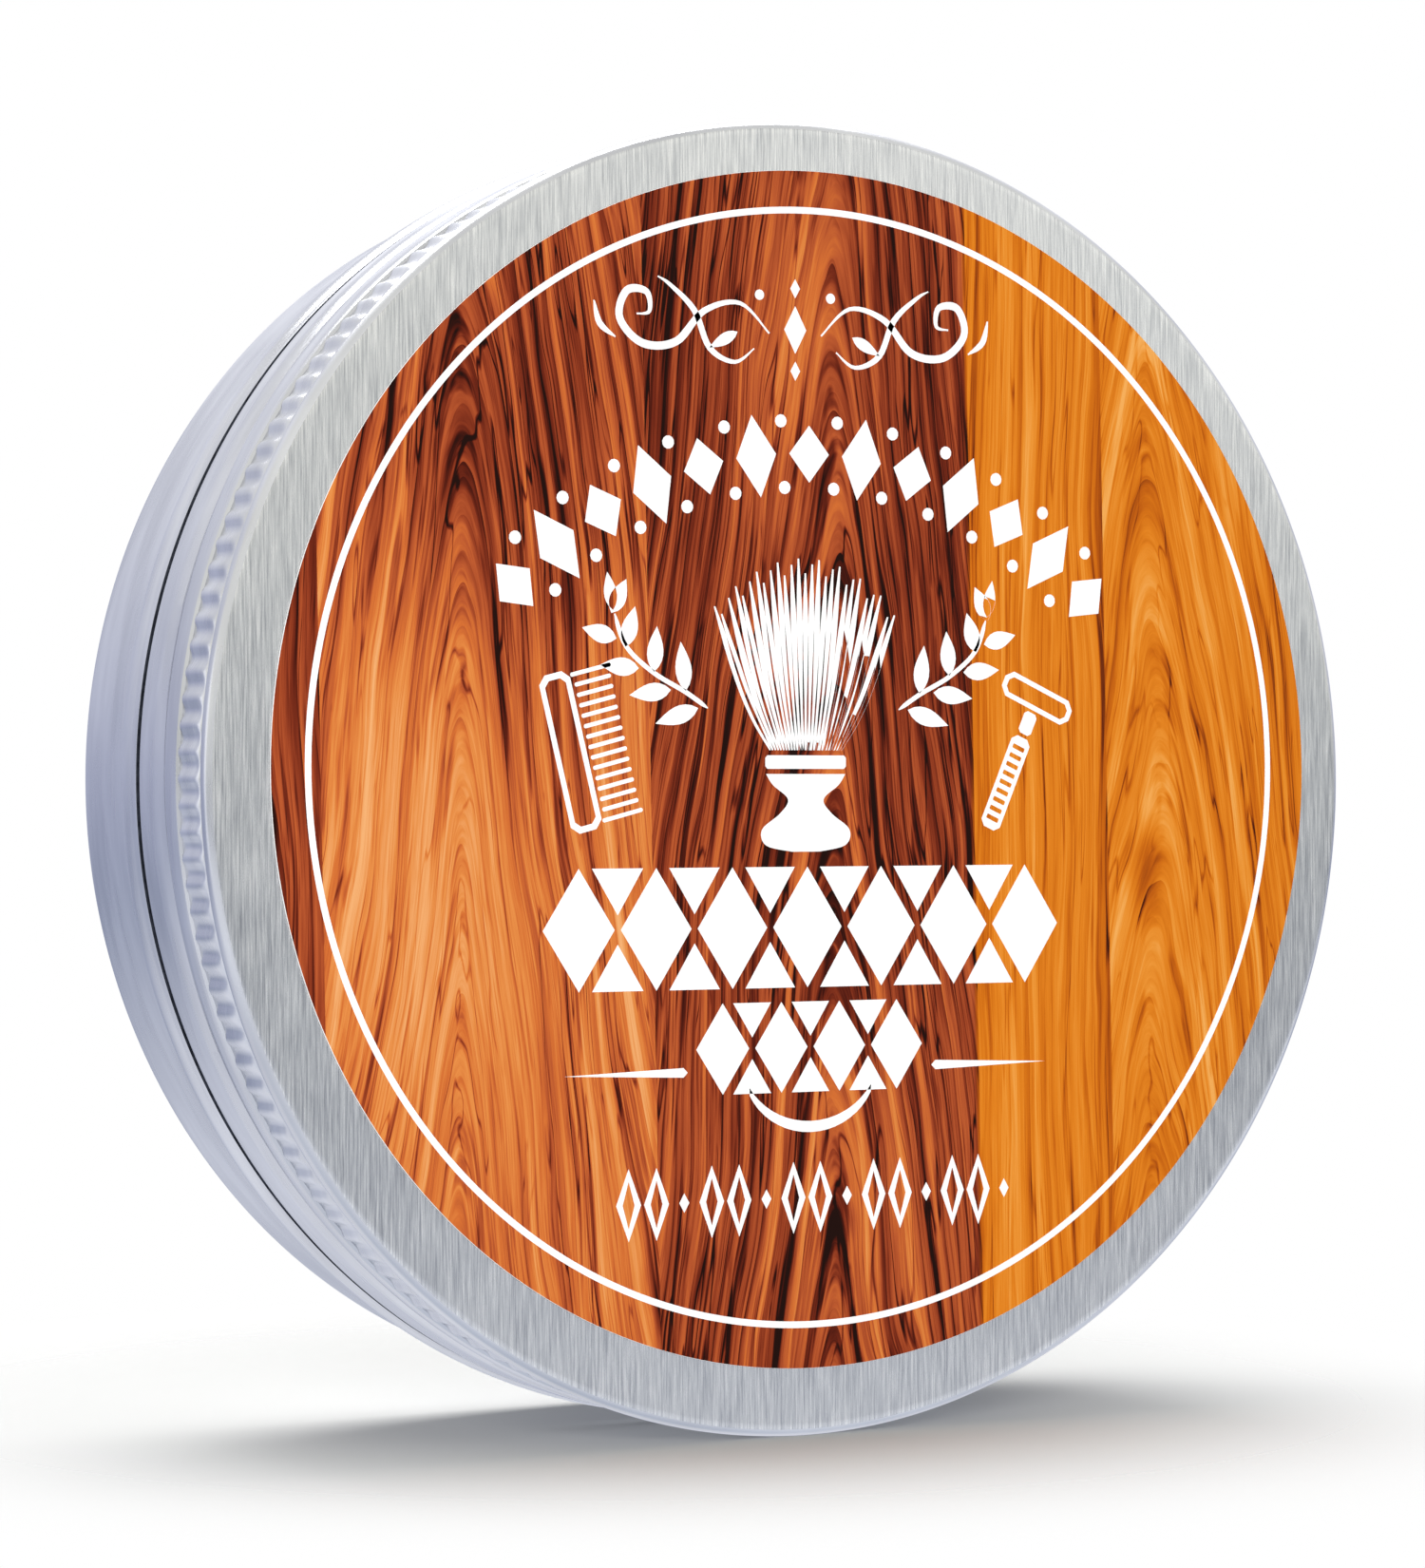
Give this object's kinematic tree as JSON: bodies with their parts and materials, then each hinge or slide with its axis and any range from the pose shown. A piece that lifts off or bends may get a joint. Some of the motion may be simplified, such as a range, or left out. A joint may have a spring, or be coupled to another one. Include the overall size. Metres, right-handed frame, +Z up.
{
  "type": "shaving soap tin",
  "caption": "Puck of shaving soap in a round screw-top aluminium tin with a foam-lined lid and a printed wood-look label.",
  "frame": {"origin": "middle of the tin's foot, on the surface that it stands on", "axes": "+Z up along the tin's axis towards the lid, +Y towards the top edge of the label"},
  "size_m": [0.083, 0.083, 0.0234],
  "materials": {
    "tin_aluminium": "drawn, satin",
    "lid_aluminium": "brushed, satin",
    "soap": "hard soap, slightly waxy",
    "liner_foam": "closed-cell foam",
    "printed_label": "printed film, satin"
  },
  "bodies": {
    "tin": {"tin_base": "tin_aluminium", "soap_puck": "soap"},
    "liner": {"lid_liner": "liner_foam"},
    "lid": {"lid": "lid_aluminium", "top_label": "printed_label"}
  },
  "joints": [
    {"name": "lid_rise", "type": "slide", "parent": "tin", "child": "liner", "axis": [0, 0, 1], "range_m": [0, 0.0121]},
    {"name": "lid_turn", "type": "hinge", "parent": "liner", "child": "lid", "pos_m": [0, 0, 0], "axis": [0, 0, 1], "range_deg": [0, 1080]}
  ],
  "couplings": [
    {"joint": "lid_rise", "follows": "lid_turn", "m_per_rad": 0.00063662}
  ]
}
